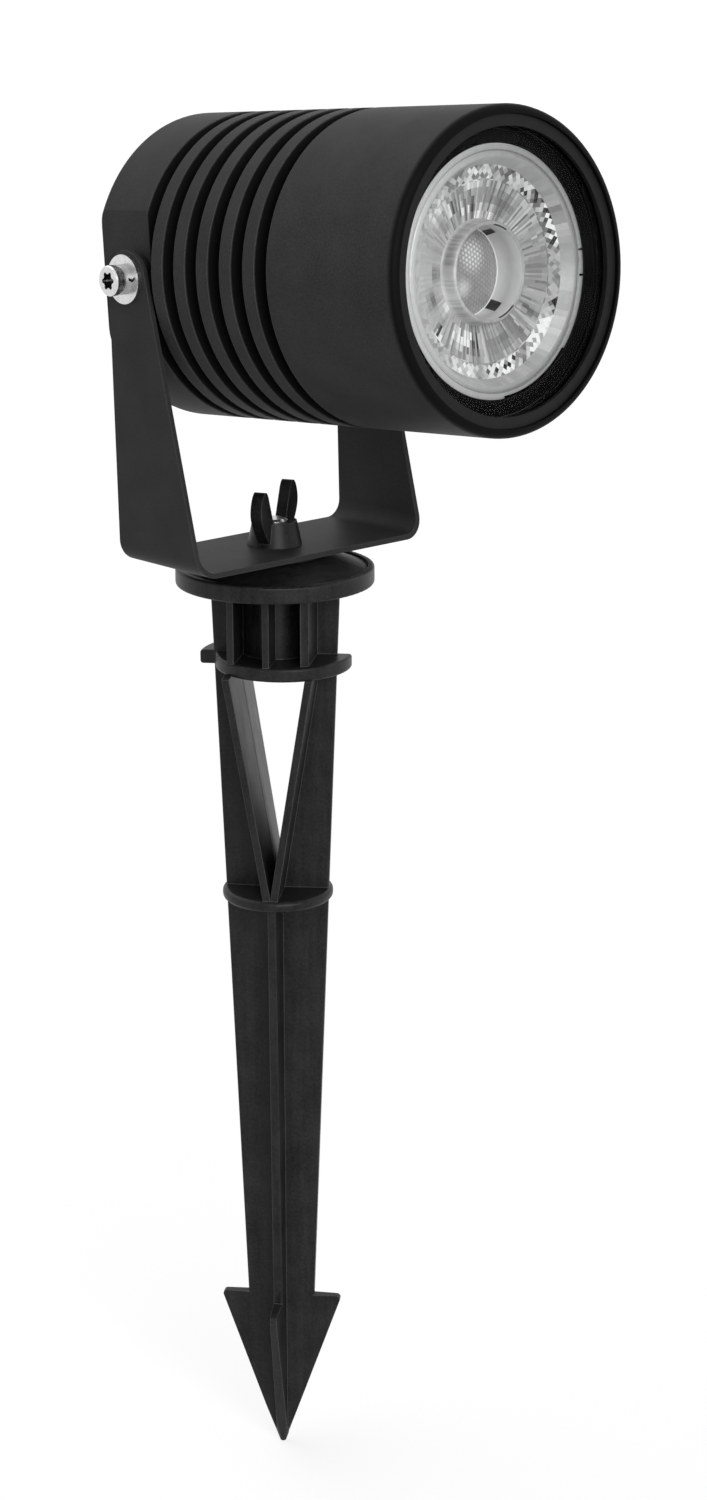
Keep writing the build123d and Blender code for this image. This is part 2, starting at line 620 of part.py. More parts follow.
def ring_lobe():
    """Half disc, shifted sideways, that stands out in front of the broad plate."""
    half = Pos(LOBE_SHIFT, 0) * Circle(LOBE_R) & Pos(0, -LOBE_R) * Rectangle(4 * LOBE_R, 2 * LOBE_R)
    lobe = Pos(0, 0, LOBE_Z) * extrude(half, LOBE_THICKNESS)
    return fillet(lobe.edges().filter_by(GeomType.CIRCLE), LOBE_ROUND)


def spike_hub():
    """Ribbed cage between the disc and the ring lobes, round a core for the bolt."""
    cage = post(HUB_CORE_R, LOBE_Z, DISC_Z)
    cage += tapered_plate(LOBE_Z, DISC_Z)
    cage += [hub_rib(x) for x in (-HUB_RIB_OFFSET, 0, HUB_RIB_OFFSET)]
    return cage + ring_lobe() + Rot(0, 0, 180) * ring_lobe()


def v_frame():
    """Plate with a V-shaped opening between two leaning walls."""
    lean = atan2(V_TOP - V_FOOT, LOBE_Z)
    inner = V_TOP - V_ROOT / cos(lean)
    floor = LOBE_Z - inner / tan(lean)
    opening = outline((-inner, LOBE_Z), (inner, LOBE_Z), (0, floor))
    frame = tapered_plate(0, LOBE_Z) - extrude(Plane.XZ * opening, HUB_R, both=True)
    low, high = plate_half(0), plate_half(LOBE_Z)
    side_view = outline((-low, 0), (low - RIB_STEP, 0), (high - RIB_STEP, LOBE_Z), (-high, LOBE_Z))
    trim = extrude(SIDE * side_view, DISC_R, both=True)
    for side in SIDES:
        plan = outline((0, -HUB_R), (0, HUB_R), (-side * V_WALL, HUB_R),
                       (-side * V_ROOT, 0), (-side * V_WALL, -HUB_R))
        wall = Rot(0, side * degrees(lean), 0) * extrude(plan, DISC_Z, both=True)
        frame += Pos(side * V_FOOT, 0) * wall & trim
    return frame


def spike_blade():
    """Cross of two tapering ribs that ends in a four-barbed point."""
    step = {0: 0.0, 90: RIB_STEP}
    tip = TIP_R * BARB_REACH / (BARB_Z - TIP_Z + TIP_R)
    point = outline((0, TIP_Z), (tip + POINT_GAP, TIP_Z), (BARB_REACH + POINT_GAP, BARB_Z),
                    (0, BARB_Z))
    point = revolve(Plane.XZ * point, Axis.Z, 360)
    point = fillet(point.edges().filter_by(GeomType.CIRCLE).sort_by(Axis.Z)[0], TIP_ROUND)
    blade = []
    for yaw in step:
        plate = tapered_plate(BARB_Z, 0, step[yaw])
        barb = outline((-BARB_REACH, BARB_Z), (BARB_REACH, BARB_Z), (tip, TIP_Z), (-tip, TIP_Z))
        corners = barb.vertices().group_by(Axis.Y)[-1]
        barb = extrude(Plane.XZ * fillet(corners, BARB_ROUND), RIB_ROOT, both=True)
        blade.append(Rot(0, 0, yaw) * (plate + (drafted(barb) & point)))
    return blade[0] + blade[1]


def ground_spike():
    """One moulding: disc, ribbed hub, V frame, collar and barbed cross blade."""
    collar = post(COLLAR_R, 0, COLLAR_THICKNESS)
    collar = fillet(collar.edges().filter_by(GeomType.CIRCLE), COLLAR_ROUND)
    spike = spike_disc() + spike_hub() + v_frame() + collar + spike_blade()
    spike -= post(STUD_R + FIT_GAP, LOBE_Z, BOSS_TOP)
    spike -= hexagon(STUD_HEAD_HEX + 2 * SEAT_GAP, LOBE_Z, STUD_SEAT)
    return Rot(0, 0, SPIKE_YAW) * spike


# ---- assembly and export ------------------------------------------------
HEAD_PARTS = {
    "rear_housing": rear_housing,
    "rear_cover": rear_cover,
    "cover_gasket": cover_gasket,
    "cover_screws": cover_screws,
    "driver_module": driver_module,
    "chip_leads": chip_leads,
    "thermal_pad": thermal_pad,
    "led_chip": led_chip,
    "chip_screws": chip_screws,
    "optic_lens": optic_lens,
    "lens_holder": lens_holder,
    "front_hood": front_hood,
    "hood_o_ring": hood_o_ring,
    "glass_gasket": glass_gasket,
    "cover_glass": cover_glass,
    "retaining_ring": retaining_ring,
    "gland_body": gland_body,
    "gland_washer": gland_washer,
    "gland_nut": gland_nut,
    "gland_seal": gland_seal,
    "pivot_bushes": pivot_bushes,
    "pivot_washers": pivot_washers,
    "spring_washers": spring_washers,
    "collar_washers": collar_washers,
    "pivot_screws": pivot_screws,
}

LOWER_PARTS = {
    "u_bracket": u_bracket,
    "swivel_pad": swivel_pad,
    "stud_bolt": stud_bolt,
    "wing_nut": wing_nut,
    "ground_spike": ground_spike,
}


def solids_of(made):
    shapes = made if isinstance(made, (list, tuple)) else [made]
    return [solid for shape in shapes for solid in shape.solids()]


def write(name, made, place):
    solids = [place * solid for solid in solids_of(made)]
    shape = solids[0] if len(solids) == 1 else Compound(children=solids)
    export_step(shape, "parts/" + name + ".step")


os.makedirs("parts", exist_ok=True)
HEAD_PLACE = Pos(0, PIVOT_Y, PIVOT_Z) * Rot(-HEAD_TILT, 0, 0)
for name, make in HEAD_PARTS.items():
    write(name, make(), HEAD_PLACE)
for name, make in LOWER_PARTS.items():
    write(name, make(), Pos(0, 0, 0))
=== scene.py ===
import math
import random

import bmesh
import bpy
from mathutils import Matrix, Vector
from mathutils.geometry import delaunay_2d_cdt


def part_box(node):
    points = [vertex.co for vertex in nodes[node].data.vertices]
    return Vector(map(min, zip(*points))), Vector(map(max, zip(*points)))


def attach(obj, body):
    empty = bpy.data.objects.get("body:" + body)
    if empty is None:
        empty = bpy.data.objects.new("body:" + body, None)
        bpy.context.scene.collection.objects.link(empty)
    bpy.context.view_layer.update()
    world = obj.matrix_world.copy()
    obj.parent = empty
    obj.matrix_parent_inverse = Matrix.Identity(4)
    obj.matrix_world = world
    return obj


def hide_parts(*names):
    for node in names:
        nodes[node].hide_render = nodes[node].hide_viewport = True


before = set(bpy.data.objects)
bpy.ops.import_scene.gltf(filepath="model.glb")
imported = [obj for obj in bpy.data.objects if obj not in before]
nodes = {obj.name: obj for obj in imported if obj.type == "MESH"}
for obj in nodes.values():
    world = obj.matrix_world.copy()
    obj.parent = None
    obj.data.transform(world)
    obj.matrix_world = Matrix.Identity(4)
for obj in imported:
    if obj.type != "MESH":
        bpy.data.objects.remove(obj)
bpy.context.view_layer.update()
MM = 0.001

# ---- the head's frame, and places in it that the solids give, in mm --------
PIVOT = Vector((0.0, 0.008, 0.1265))
HEAD = Matrix.Translation(PIVOT) @ Matrix.Rotation(math.radians(-4.1), 4, "X")
HEAD_BACK = HEAD.inverted()
LENS_FRONT = 67.7
# where the painted shade on the hood's rim fades in
RIM_FROM, RIM_TO = 70.4, 71.3       # from the window's bore to the hood's rim
# where painted shade darkens the fins' grooves
GROOVES_FROM, GROOVES_TO = 4.0, 39.7
GROOVE_TOP_R = 28.8                 # just below the fins' edges
# where the pivot screws' key holes get painted shade
SCREW_FACE_X = 33.42                # just below the face of the pivot screw's head
SOCKET_R = 1.75
PHOSPHOR_R = 4.5
TIP_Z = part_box("ground_spike")[0].z

DEEP = 0.004                        # the grey of places that hardly any light reaches
GROOVE_SHADE = 0.88                 # how far the fins' grooves go towards it


def head_point(s, r, angle):
    """A place in metres, s mm in front of the pivot and r mm from the barrel's axis."""
    local = Vector((r * math.cos(angle), -s, r * math.sin(angle)))
    return HEAD @ (local * MM)


# ---- node helpers ---------------------------------------------------------
def new_material(name, colour, roughness, **sockets):
    """A material with these shader values; an underscore stands for a space in a socket's name."""
    material = bpy.data.materials.new(name)
    material.use_nodes = True
    shader = material.node_tree.nodes["Principled BSDF"]
    shader.inputs["Base Color"].default_value = (*colour, 1)
    shader.inputs["Roughness"].default_value = roughness
    for key, value in sockets.items():
        shader.inputs[key.replace("_", " ")].default_value = value
    return material


def add(material, kind, **values):
    """A node in the material, with its properties and its unlinked sockets set."""
    node = material.node_tree.nodes.new(kind)
    for key, value in values.items():
        if hasattr(node, key):
            setattr(node, key, value)
        else:
            node.inputs[key.replace("_", " ")].default_value = value
    return node


def join(material, source, target):
    material.node_tree.links.new(source, target)


def shader_of(material):
    return material.node_tree.nodes["Principled BSDF"]


def places(material, scale=(1, 1, 1), turn=(0, 0, 0), move=(0, 0, 0)):
    """Object coordinates in metres, moved, turned and stretched."""
    coords = add(material, "ShaderNodeTexCoord")
    mapping = add(material, "ShaderNodeMapping", Location=move, Rotation=turn, Scale=scale)
    join(material, coords.outputs["Object"], mapping.inputs["Vector"])
    return mapping.outputs["Vector"]


def noise(material, vector, size, detail=3.0, rough=0.55):
    """Noise whose features are about size mm across."""
    node = add(material, "ShaderNodeTexNoise",
               Scale=1 / (size * MM), Detail=detail, Roughness=rough)
    join(material, vector, node.inputs["Vector"])
    return node.outputs["Fac"]


def spread(material, factor, low, high, start=0.3, end=0.7):
    """Maps a factor from start..end to low..high."""
    node = add(material, "ShaderNodeMapRange")
    for key, value in (("From Min", start), ("From Max", end), ("To Min", low), ("To Max", high)):
        node.inputs[key].default_value = value
    join(material, factor, node.inputs["Value"])
    return node.outputs["Result"]


def tint(material, factor, low, high, start=0.3, end=0.7):
    """Colour between two greys or colours by a factor."""
    ramp = add(material, "ShaderNodeValToRGB")
    ramp.color_ramp.elements[0].position = start
    ramp.color_ramp.elements[0].color = (*low, 1)
    ramp.color_ramp.elements[1].position = end
    ramp.color_ramp.elements[1].color = (*high, 1)
    join(material, factor, ramp.inputs["Fac"])
    return ramp.outputs["Color"]


def bump(material, height, depth, strength=1.0, below=None):
    """Bump of depth mm; below is another bump that it lies on."""
    node = add(material, "ShaderNodeBump", Strength=strength, Distance=depth * MM)
    join(material, height, node.inputs["Height"])
    if below:
        join(material, below, node.inputs["Normal"])
    return node.outputs["Normal"]


def grey(value):
    return (value, value, value)


def times(material, a, b):
    """Product of two factors."""
    node = add(material, "ShaderNodeMath", operation="MULTIPLY")
    join(material, a, node.inputs[0])
    join(material, b, node.inputs[1])
    return node.outputs[0]


def weighted(material, *pairs):
    """Sum of factors, each times its share."""
    total = None
    for factor, share in pairs:
        node = add(material, "ShaderNodeMath", operation="MULTIPLY_ADD")
        node.inputs[1].default_value = share
        node.inputs[2].default_value = 0.0
        join(material, factor, node.inputs[0])
        if total:
            join(material, total, node.inputs[2])
        total = node.outputs[0]
    return total


def toward(material, colour, amount, other):
    """A colour that becomes another one where amount is 1."""
    mix = add(material, "ShaderNodeMix", data_type="RGBA")
    join(material, amount, mix.inputs["Factor"])
    join(material, colour, mix.inputs[6])
    mix.inputs[7].default_value = (*other, 1)
    return mix.outputs[2]


def head_places(material):
    """Coordinates in the head's own frame: X along the pivots, Y backwards, Z up; metres."""
    return places(material, turn=HEAD_BACK.to_euler(), move=HEAD_BACK.translation)


def parts_of(material, vector):
    """The X, Y and Z of a vector."""
    split = add(material, "ShaderNodeSeparateXYZ")
    join(material, vector, split.inputs[0])
    return split.outputs


def reach(material, vector, axes):
    """Distance from an axis; axes is 1 for each direction that counts."""
    flat = add(material, "ShaderNodeVectorMath", operation="MULTIPLY")
    flat.inputs[1].default_value = axes
    join(material, vector, flat.inputs[0])
    length = add(material, "ShaderNodeVectorMath", operation="LENGTH")
    join(material, flat.outputs["Vector"], length.inputs[0])
    return length.outputs["Value"]


def inside(material, value, limit, soft=0.3):
    """1 where a length in metres is below limit mm, and 0 above it; it fades over soft mm."""
    return spread(material, value, 1.0, 0.0, (limit - soft) * MM, limit * MM)


def edge_highlight(material, colour, edge, width):
    """Paints a highlight of colour edge along edges, width mm wide, by mixing it into the colour;
    gives the colour and the rounded normal.
    """
    rounded = add(material, "ShaderNodeBevel", samples=4, Radius=width * MM)
    surface = add(material, "ShaderNodeNewGeometry")
    match = add(material, "ShaderNodeVectorMath", operation="DOT_PRODUCT")
    join(material, rounded.outputs["Normal"], match.inputs[0])
    join(material, surface.outputs["Normal"], match.inputs[1])
    highlight_mask = spread(material, match.outputs["Value"], 1.0, 0.0, 0.86, 0.985)
    return toward(material, colour, highlight_mask, edge), rounded.outputs["Normal"]


# ---- materials ------------------------------------------------------------
def powder_coat(name, tone, roughness, level, grain=0.35, shade=None):
    """Fine satin powder coat: orange peel, a fine grain, a faint mottle and a painted highlight
    along the edges; shade, if given, makes the mask of painted shade that darkens it.
    """
    material = new_material(name, grey(tone), roughness, Specular_IOR_Level=level)
    shader = shader_of(material)
    where = places(material)
    mottle = noise(material, where, 9.0, 2.0)
    fine = noise(material, where, grain, 2.0)
    peel = noise(material, where, 1.3, 2.0)
    blend = weighted(material, (fine, 0.65), (mottle, 0.35))
    colour = tint(material, blend, grey(tone * 0.75), grey(tone * 1.25), 0.35, 0.65)
    # painted highlight along the edges
    colour, rounded = edge_highlight(material, colour, grey(tone * 3.0), 0.2)
    # painted shade, towards the grey DEEP where the mask gives 1
    if shade:
        colour = toward(material, colour, shade(material), grey(DEEP))
    join(material, colour, shader.inputs["Base Color"])
    join(material, spread(material, fine, roughness - 0.05, roughness + 0.07),
         shader.inputs["Roughness"])
    wavy = bump(material, peel, 0.02, 0.35, rounded)
    join(material, bump(material, fine, 0.012, 0.5, wavy), shader.inputs["Normal"])
    return material


def rim_painted_shade(material):
    """Painted shade: 1 on the hood's rim and on its bore round the window."""
    along = parts_of(material, head_places(material))["Y"]
    return spread(material, along, 1.0, 0.0, -RIM_TO * MM, -RIM_FROM * MM)


def groove_painted_shade(material):
    """The share of painted shade: high on the walls and floors of the fins' grooves, 0 on the
    skin.
    """
    where = head_places(material)
    along = parts_of(material, where)["Y"]
    below = inside(material, reach(material, where, (1, 0, 1)), GROOVE_TOP_R, 0.2)
    front = spread(material, along, 0.0, GROOVE_SHADE, -(GROOVES_TO + 0.1) * MM, -GROOVES_TO * MM)
    rear = spread(material, along, 1.0, 0.0,
                  -(GROOVES_FROM + 0.02) * MM, -(GROOVES_FROM - 0.04) * MM)
    return times(material, below, times(material, front, rear))


def moulded(name, tone, roughness, level, streak=0.0):
    """Moulded plastic: fine spark grain and flow streaks along Z, clearer with streak, and a
    painted highlight along the edges.
    """
    material = new_material(name, grey(tone), roughness, Specular_IOR_Level=level)
    shader = shader_of(material)
    where = places(material)
    fine = noise(material, where, 0.3, 2.0)
    cloud = noise(material, where, 6.0, 3.0)
    flow = noise(material, places(material, scale=(1, 1, 0.07)), 1.6, 3.0)
    speck = noise(material, where, 0.55, 3.0, 0.7)
    blend = weighted(material, (flow, 0.6 * streak), (cloud, 0.6 * (1 - streak)), (speck, 0.4))
    colour = tint(material, blend, grey(tone * 0.2), grey(tone * 2.2), 0.36, 0.64)
    # painted highlight along the edges
    colour, rounded = edge_highlight(material, colour, grey(tone * 11), 0.25)
    join(material, colour, shader.inputs["Base Color"])
    join(material, spread(material, blend, roughness - 0.07, roughness + 0.1),
         shader.inputs["Roughness"])
    wavy = bump(material, flow, 0.05, 0.25 + 0.3 * streak, rounded)
    join(material, bump(material, fine, 0.012, 0.55, wavy), shader.inputs["Normal"])
    return material


def turned_steel(name, tone, roughness, centre, turn, metal=1.0, socket=False):
    """Steel with fine lathe rings about an axis; socket paints shade into the key hole of the
    pivot screws.

    turn and centre bring that axis to Z."""
    material = new_material(name, grey(tone), roughness, Metallic=metal)
    shader = shader_of(material)
    where = places(material, turn=turn, move=centre)
    wave = add(material, "ShaderNodeTexWave", wave_type="RINGS", rings_direction="Z",
               Scale=420.0, Distortion=0.6, Detail=1.0)
    join(material, where, wave.inputs["Vector"])
    scuff = noise(material, where, 0.8, 4.0, 0.65)
    colour = tint(material, scuff, grey(tone * 0.82), grey(min(1.0, tone * 1.12)))
    if socket:
        # painted shade in the key hole
        head = head_places(material)
        out = add(material, "ShaderNodeMath", operation="ABSOLUTE")
        join(material, parts_of(material, head)["X"], out.inputs[0])
        socket_painted_shade = times(material, inside(material, reach(material, head, (0, 1, 1)), SOCKET_R, 0.1),
                     inside(material, out.outputs[0], SCREW_FACE_X, 0.02))
        colour = toward(material, colour, socket_painted_shade, grey(0.06))
    join(material, colour, shader.inputs["Base Color"])
    join(material, spread(material, scuff, roughness - 0.06, roughness + 0.12),
         shader.inputs["Roughness"])
    rings = bump(material, wave.outputs["Fac"], 0.004, 0.3)
    join(material, bump(material, scuff, 0.006, 0.3, rings), shader.inputs["Normal"])
    return material


def grained(name, low, high, size, roughness, depth, **sockets):
    """A mottled, lightly grained surface between two colours."""
    material = new_material(name, low, roughness, **sockets)
    shader = shader_of(material)
    where = places(material)
    cloud = noise(material, where, size, 4.0, 0.6)
    fine = noise(material, where, size * 0.2, 2.0)
    join(material, tint(material, cloud, low, high), shader.inputs["Base Color"])
    join(material, spread(material, cloud, roughness - 0.05, roughness + 0.08),
         shader.inputs["Roughness"])
    join(material, bump(material, fine, depth, 0.5), shader.inputs["Normal"])
    return material


def clear_glass(name):
    """Clear glass that lets the lamps light what lies behind it."""
    material = new_material(name, (0.97, 0.985, 0.98), 0.02, IOR=1.08, Transmission_Weight=1.0)
    shader = shader_of(material)
    smear_and_painted_wall_light = noise(material, places(material), 7.0, 2.0)
    join(material, spread(material, smear_and_painted_wall_light, 0.0, 0.025), shader.inputs["Roughness"])
    path = add(material, "ShaderNodeLightPath")
    hidden = add(material, "ShaderNodeMath", operation="MAXIMUM")
    join(material, path.outputs["Is Shadow Ray"], hidden.inputs[0])
    join(material, path.outputs["Is Diffuse Ray"], hidden.inputs[1])
    passing = add(material, "ShaderNodeBsdfTransparent")
    mix = add(material, "ShaderNodeMixShader")
    join(material, hidden.outputs[0], mix.inputs["Fac"])
    join(material, shader.outputs["BSDF"], mix.inputs[1])
    join(material, passing.outputs["BSDF"], mix.inputs[2])
    output = material.node_tree.nodes["Material Output"]
    join(material, mix.outputs["Shader"], output.inputs["Surface"])
    return material


def light_source():
    """White ceramic plate with a yellow phosphor field in its middle."""
    material = new_material("chip_ceramic", (0.8, 0.8, 0.78), 0.4)
    where = head_places(material)
    off_axis = reach(material, where, (1, 0, 1))
    field = spread(material, off_axis, 0.0, 1.0, PHOSPHOR_R * MM, (PHOSPHOR_R + 0.2) * MM)
    join(material, tint(material, field, (0.85, 0.62, 0.12), (0.8, 0.8, 0.77), 0.45, 0.55),
         shader_of(material).inputs["Base Color"])
    grain = noise(material, where, 0.4, 3.0)
    join(material, bump(material, grain, 0.02, 0.5), shader_of(material).inputs["Normal"])
    return material


def lens_material(name, low, high, roughness, coat):
    """Optical plastic whose facets differ in brightness by the mesh's own tone attribute, which
    holds painted highlights, reflections and shade.
    """
    material = new_material(name, high, roughness, Specular_IOR_Level=0.3,
                            Coat_Weight=coat, Coat_Roughness=0.08)
    shader = shader_of(material)
    tone = add(material, "ShaderNodeAttribute", attribute_name="tone")
    wisps = noise(material, places(material), 1.1, 4.0, 0.7)
    wisp_share = 0.16
    shade = add(material, "ShaderNodeMath", operation="MULTIPLY_ADD", use_clamp=True)
    shade.inputs[1].default_value = wisp_share
    join(material, wisps, shade.inputs[0])
    shift = add(material, "ShaderNodeMath", operation="SUBTRACT")
    shift.inputs[1].default_value = wisp_share / 2
    join(material, tone.outputs["Fac"], shift.inputs[0])
    join(material, shift.outputs[0], shade.inputs[2])
    join(material, tint(material, shade.outputs[0], low, high, 0.0, 1.0),
         shader.inputs["Base Color"])
    join(material, bump(material, wisps, 0.03, 0.3), shader.inputs["Normal"])
    return material


pivot_turn = (0, math.radians(90), 0)       # brings the pivots' axis to Z
pivot_place = (-PIVOT.z, -PIVOT.y, 0)
head_paint = (0.043, 0.5, 0.05)             # tone, roughness and specular level
# painted shade in the fins' grooves
barrel_coat = powder_coat("barrel_coat", *head_paint, shade=groove_painted_shade)
# painted shade on the hood's rim
hood_coat = powder_coat("hood_coat", *head_paint, shade=rim_painted_shade)
cover_coat = powder_coat("cover_coat", *head_paint)
bracket_coat = powder_coat("bracket_coat", 0.034, 0.5, 0.08, 0.28)
spike_nylon = moulded("spike_nylon", 0.012, 0.38, 0.18, 0.5)
nut_plastic = moulded("nut_plastic", 0.01, 0.36, 0.18)
gland_nylon = moulded("gland_nylon", 0.012, 0.42, 0.2)
holder_plastic = moulded("holder_plastic", 0.003, 0.6, 0.02)
driver_potting = grained("driver_potting", grey(0.012), grey(0.03), 4.0, 0.45, 0.05)
pivot_steel = turned_steel("pivot_steel", 0.68, 0.2, pivot_place, pivot_turn)
socket_steel = turned_steel("socket_steel", 0.68, 0.22, pivot_place, pivot_turn, socket=True)
collar_steel = turned_steel("collar_steel", 0.42, 0.3, pivot_place, pivot_turn, metal=0.5)
stud_steel = turned_steel("stud_steel", 0.6, 0.25, (0, 0, 0), (0, 0, 0))
screw_steel = grained("screw_steel", grey(0.48), grey(0.66), 1.0, 0.26, 0.01, Metallic=1.0)
ring_metal = grained("ring_metal", grey(0.008), grey(0.014), 2.0, 0.5, 0.01,
                     Specular_IOR_Level=0.15)
seal_rubber = grained("seal_rubber", grey(0.012), grey(0.022), 1.5, 0.72, 0.03,
                      Specular_IOR_Level=0.2)
heat_pad = grained("heat_pad", grey(0.42), grey(0.55), 1.2, 0.8, 0.03)
lead_copper = grained("lead_copper", (0.55, 0.28, 0.16), (0.72, 0.42, 0.28), 1.0, 0.3, 0.01,
                      Metallic=1.0)
window = clear_glass("window_glass")
chip_ceramic = light_source()

dressing = {
    "rear_housing": barrel_coat,
    "front_hood": hood_coat,
    "rear_cover": cover_coat,
    "u_bracket": bracket_coat,
    "ground_spike": spike_nylon,
    "wing_nut": nut_plastic,
    "gland_body": gland_nylon,
    "gland_nut": gland_nylon,
    "lens_holder": holder_plastic,
    "driver_module": driver_potting,
    "pivot_screws": socket_steel,
    "pivot_washers": pivot_steel,
    "collar_washers": collar_steel,
    "spring_washers": collar_steel,
    "pivot_bushes": gland_nylon,
    "stud_bolt": stud_steel,
    "cover_screws": screw_steel,
    "chip_screws": screw_steel,
    "retaining_ring": ring_metal,
    "cover_gasket": seal_rubber,
    "hood_o_ring": seal_rubber,
    "glass_gasket": holder_plastic,
    "gland_washer": seal_rubber,
    "gland_seal": seal_rubber,
    "swivel_pad": seal_rubber,
    "thermal_pad": heat_pad,
    "led_chip": chip_ceramic,
    "chip_leads": lead_copper,
    "cover_glass": window,
    "optic_lens": window,
}
for name, node in nodes.items():
    for slot in node.material_slots:
        slot.material = dressing[name]


# ---- the optic ------------------------------------------------------------
# the optic's tones are painted light and shade, for what the clear plastic shows
class Shell:
    """A mesh that grows ring by ring, with a tone of painted light and shade on each corner and a
    material on each face.
    """

    def __init__(self):
        self.mesh = bmesh.new()
        self.tone = self.mesh.loops.layers.float.new("tone")

    def ring(self, depth, radius, turns):
        """Points at turns degrees; depth and radius are mm, one for all or a list."""
        depths = depth if isinstance(depth, list) else [depth] * len(turns)
        radii = radius if isinstance(radius, list) else [radius] * len(turns)
        return [self.mesh.verts.new(head_point(LENS_FRONT - d, r, math.radians(turn)))
                for d, r, turn in zip(depths, radii, turns)]

    def face(self, corners, tones, slot, smooth=False):
        """tones is one tone, or one for each corner."""
        face = self.mesh.faces.new(corners)
        values = tones if isinstance(tones, (list, tuple)) else [tones] * len(corners)
        for loop, value in zip(face.loops, values):
            loop[self.tone] = value
        face.material_index = slot
        face.smooth = smooth

    def band(self, outer, inner, tones):
        """Joins two rings; tones is one tone, or a pair of lists for the two rings."""
        count = len(outer)
        for i in range(count):
            j = (i + 1) % count
            values = tones
            if isinstance(tones, tuple):
                values = (tones[0][i], tones[0][j], tones[1][j], tones[1][i])
            self.face((outer[i], outer[j], inner[j], inner[i]), values, SKIN, True)

    def fan(self, edge, inner, tone):
        """Joins a ring of many points to one of fewer, each to the nearest.

        tone is a number, or a function that gives one for a turn in degrees."""
        turn_of = {}
        for vert in edge + inner:
            place = HEAD_BACK @ vert.co
            turn_of[vert] = math.atan2(place.z, place.x)
        count = len(inner)
        nearest = []
        for vert in edge:
            share = (turn_of[vert] - turn_of[inner[0]]) / math.tau
            nearest.append(round(share * count) % count)
        for i, vert in enumerate(edge):
            j = (i + 1) % len(edge)
            a, b = nearest[i], nearest[j]
            corners = [vert, edge[j], inner[b]] + ([inner[a]] if a != b else [])
            here = tone(math.degrees(turn_of[vert])) if callable(tone) else tone
            self.face(corners, here, SKIN, True)

    def finish(self, name, materials):
        """Turns the mesh into an object with these material slots."""
        bmesh.ops.recalc_face_normals(self.mesh, faces=self.mesh.faces)
        data = bpy.data.meshes.new(name)
        self.mesh.to_mesh(data)
        self.mesh.free()
        for material in materials:
            data.materials.append(material)
        made = bpy.data.objects.new(name, data)
        bpy.context.scene.collection.objects.link(made)
        return made


def lobe(away, width):
    """Smooth hump, 1 where away is 0 and 0 from width on."""
    return math.cos(min(abs(away) / width, 1.0) * math.pi / 2) ** 2


def apart(turn, centre):
    """Degrees from centre to turn, between -180 and 180."""
    return (turn - centre + 180) % 360 - 180


# sizes of the optic in mm and degrees; depths count from the flange's face
FLUTES = 100
PITCH = 360 / FLUTES
EVEN = [i * PITCH for i in range(FLUTES)]
ODD = [(i + 0.5) * PITCH for i in range(FLUTES)]
EDGE_R = 22.3
EDGE_ROUND = 0.12
EDGE_INSET = 0.45                   # how far the flange's edge steps in between these turns
INSET_FROM, INSET_TO = 272, 318
NOTCH_TURN = 6.0                    # a notch stands on each side of the tab at turn 0
NOTCH_HALF = 0.55
NOTCH_DEPTH = 0.9
NOTCH_LEAN = 0.04                   # the turn over which a notch's side steps in
INSET_LEAN = 0.05                   # half the turn over which the inset part steps in
FLANGE_THICKNESS = 1.5
GROOVE = ((0, 21.25), (0.22, 21.12), (0.22, 20.98), (0, 20.85))     # depth and radius
LIP_R = 19.9
BOWL_R, BOWL_DEPTH = 18.7, 2.2
BOWL_SLOPE = 0.25
DIAMOND = 0.62                      # from one ring of the diamonds' corners to the next
DIAMOND_ROWS = 4                    # even, so that the last ring stands at the first one's turns
ROOT_R = 9.4
FLUTE_ROWS = (16.0, 14.8, 13.5, 12.1, 10.7, ROOT_R)                 # radii
FLUTE_SHARES = (0, 0.45)            # where ridge and valley lie, in pitches
FLUTE_TOP_R = 15.75                 # the faces above the flutes take the tone of this radius
FLUTE_RISE = 0.05
MOUTH_DEPTH, MOUTH_R, MOUTH_OUTER_R = 1.5, 8.2, 9.0
WALL_ROWS = ((3.6, 9.15), (2.7, 9.1), (1.72, MOUTH_OUTER_R))        # depth and radius
# painted shadows on the mouth's bevel, and painted shade on the well's inner wall
MOUTH_SHADOWS = ((56, 80), (281, 310))                              # from turn to turn
WALL_SHADES = ((52.5, 64), (296, 312))  # dark places in the well's inner wall, from turn to turn
WALL_SHADE_TOP = 4.5
SLANTS = ((59, -7.0), (-56, 5.5))   # middle turn of a painted wall shade, and how its lower edge is shifted
FLOOR_DEPTH, FLOOR_R = 7.7, 8.0
DOME = 1.2
PEBBLE_PITCH = 0.85
PEBBLE_RISE = 0.14
PEBBLE_MARGIN = 0.3                 # free of pebbles along the floor's edge
# painted highlights and a soft painted light on the floor
SHINE_AT, SHINE_R = Vector((0.7, 2.8)), 4.2     # bright places on the floor
SOFT_LIGHT_AT, SOFT_LIGHT_R = Vector((-1.8, -2.8)), 2.6
CONE = ((FLANGE_THICKNESS, 20.9), (10.15, 15.2), (16.1, 6.2))       # depth and radius
SKIN, FACETS, PEBBLES = 0, 1, 2     # material slots

